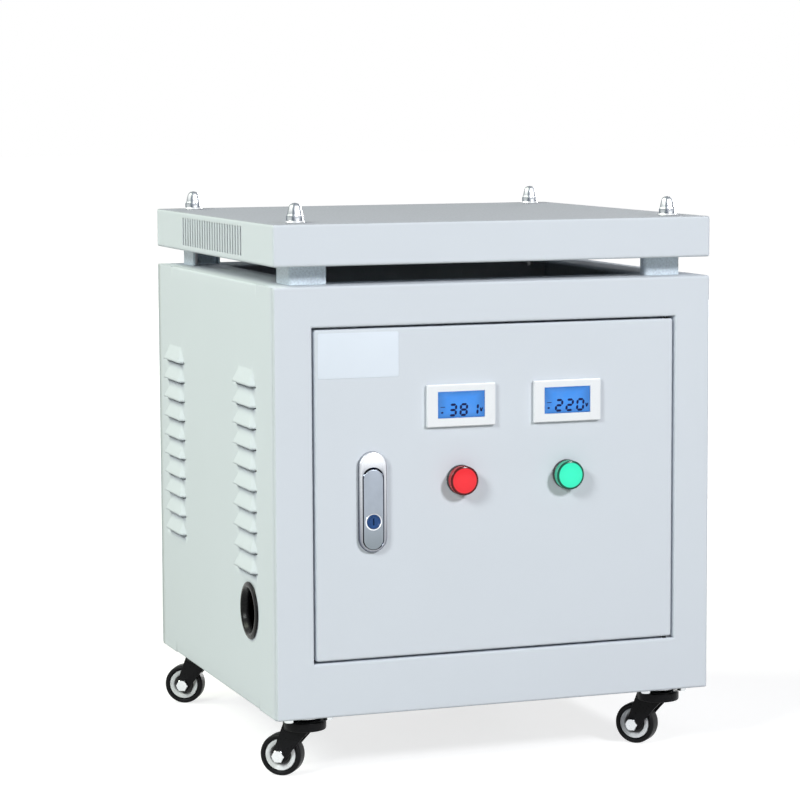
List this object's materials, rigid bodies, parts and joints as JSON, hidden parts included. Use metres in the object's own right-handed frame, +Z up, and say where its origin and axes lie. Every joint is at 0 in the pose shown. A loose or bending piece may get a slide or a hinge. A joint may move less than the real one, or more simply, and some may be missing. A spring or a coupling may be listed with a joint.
{
  "type": "wheeled transformer cabinet",
  "caption": "Wheeled sheet-steel cabinet around a dry transformer, with panel meters, pilot lamps, a key lock, louvred sides and a raised vented cover.",
  "frame": {"origin": "middle of the bounding box at floor level, under the wheels", "axes": "+Z up, the door side faces -Y, +X to the right as the door is seen"},
  "size_m": [0.492, 0.464, 0.5898],
  "materials": {
    "grey_paint": "light grey powder coat",
    "zinc": "zinc-plated steel",
    "satin_chrome": "satin chrome on die-cast metal",
    "blue_lacquer": "dark blue lacquered key cylinder",
    "black_rubber": "smooth black rubber",
    "black_tyre": "black rubber tyre",
    "black_enamel": "black enamel",
    "white_plastic": "moulded white plastic",
    "blue_display": "lit blue display window",
    "black_plastic": "black moulded plastic",
    "red_lens": "clear red lens",
    "green_lens": "clear green lens",
    "core_steel": "varnished silicon-steel laminations",
    "coil_wrap": "aluminium winding in varnished insulation",
    "brown_board": "phenolic laminate"
  },
  "bodies": {
    "cabinet": {"front_frame": "grey_paint", "left_side_panel": "grey_paint", "right_side_panel": "grey_paint", "rear_panel": "grey_paint", "base_plate": "grey_paint", "cable_grommet": "black_rubber", "top_cover": "grey_paint", "cover_post_front_left": "zinc", "cover_post_front_right": "zinc", "cover_post_rear_left": "zinc", "cover_post_rear_right": "zinc", "cover_stud_front_left": "zinc", "cover_stud_front_right": "zinc", "cover_stud_rear_left": "zinc", "cover_stud_rear_right": "zinc", "core": "core_steel", "coil_left": "coil_wrap", "coil_middle": "coil_wrap", "coil_right": "coil_wrap", "upper_clamp_front": "black_enamel", "upper_clamp_rear": "black_enamel", "lower_clamp_front": "black_enamel", "lower_clamp_rear": "black_enamel", "terminal_board": "brown_board", "terminal_block": "black_plastic", "caster_plate_front_left": "zinc", "caster_plate_front_right": "zinc", "caster_plate_rear_left": "zinc", "caster_plate_rear_right": "zinc", "hinge_pin_top": "zinc", "hinge_pin_bottom": "zinc"},
    "door": {"door_panel": "grey_paint", "lock_housing": "satin_chrome", "input_meter_case": "white_plastic", "input_meter_display": "blue_display", "output_meter_case": "white_plastic", "output_meter_display": "blue_display", "red_lamp_body": "black_plastic", "red_lamp_lens": "red_lens", "green_lamp_body": "black_plastic", "green_lamp_lens": "green_lens"},
    "handle": {"lock_handle": "satin_chrome"},
    "cylinder": {"lock_cylinder": "blue_lacquer"},
    "tongue": {"lock_tongue": "zinc"},
    "swivel_front_left": {"caster_fork_front_left": "black_enamel", "caster_axle_front_left": "zinc"},
    "swivel_front_right": {"caster_fork_front_right": "black_enamel", "caster_axle_front_right": "zinc"},
    "swivel_rear_left": {"caster_fork_rear_left": "black_enamel", "caster_axle_rear_left": "zinc"},
    "swivel_rear_right": {"caster_fork_rear_right": "black_enamel", "caster_axle_rear_right": "zinc"},
    "wheel_front_left": {"caster_hub_front_left": "white_plastic", "caster_tyre_front_left": "black_tyre"},
    "wheel_front_right": {"caster_hub_front_right": "white_plastic", "caster_tyre_front_right": "black_tyre"},
    "wheel_rear_left": {"caster_hub_rear_left": "white_plastic", "caster_tyre_rear_left": "black_tyre"},
    "wheel_rear_right": {"caster_hub_rear_right": "white_plastic", "caster_tyre_rear_right": "black_tyre"}
  },
  "joints": [
    {"name": "door_open", "type": "hinge", "parent": "cabinet", "child": "door", "pos_m": [0.1915, -0.212, 0.29425], "axis": [0, 0, 1], "range_deg": [0, 105]},
    {"name": "handle_flip", "type": "hinge", "parent": "door", "child": "handle", "pos_m": [-0.1375, -0.221, 0.3148], "axis": [-1, 0, 0], "range_deg": [0, 40]},
    {"name": "cylinder_push", "type": "slide", "parent": "handle", "child": "cylinder", "axis": [0, 1, 0], "range_m": [0, 0.002], "stiffness_N_per_m": 400},
    {"name": "tongue_turn", "type": "hinge", "parent": "door", "child": "tongue", "pos_m": [-0.1375, -0.1994, 0.2988], "axis": [0, 1, 0], "range_deg": [0, 90]},
    {"name": "swivel_front_left_turn", "type": "hinge", "parent": "cabinet", "child": "swivel_front_left", "pos_m": [-0.1995, -0.181, 0.067], "axis": [0, 0, 1], "continuous": true},
    {"name": "swivel_front_right_turn", "type": "hinge", "parent": "cabinet", "child": "swivel_front_right", "pos_m": [0.1995, -0.181, 0.067], "axis": [0, 0, 1], "continuous": true},
    {"name": "swivel_rear_left_turn", "type": "hinge", "parent": "cabinet", "child": "swivel_rear_left", "pos_m": [-0.1995, 0.195, 0.067], "axis": [0, 0, 1], "continuous": true},
    {"name": "swivel_rear_right_turn", "type": "hinge", "parent": "cabinet", "child": "swivel_rear_right", "pos_m": [0.1995, 0.195, 0.067], "axis": [0, 0, 1], "continuous": true},
    {"name": "wheel_front_left_roll", "type": "hinge", "parent": "swivel_front_left", "child": "wheel_front_left", "pos_m": [-0.21892, -0.16689, 0.022], "axis": [-0.5878, -0.809, 0], "continuous": true},
    {"name": "wheel_front_right_roll", "type": "hinge", "parent": "swivel_front_right", "child": "wheel_front_right", "pos_m": [0.18313, -0.16345, 0.022], "axis": [-0.7314, -0.682, 0], "continuous": true},
    {"name": "wheel_rear_left_roll", "type": "hinge", "parent": "swivel_rear_left", "child": "wheel_rear_left", "pos_m": [-0.22028, 0.207, 0.022], "axis": [-0.5, -0.866, 0], "continuous": true},
    {"name": "wheel_rear_right_roll", "type": "hinge", "parent": "swivel_rear_right", "child": "wheel_rear_right", "pos_m": [0.18111, 0.21043, 0.022], "axis": [-0.6428, -0.766, 0], "continuous": true}
  ]
}
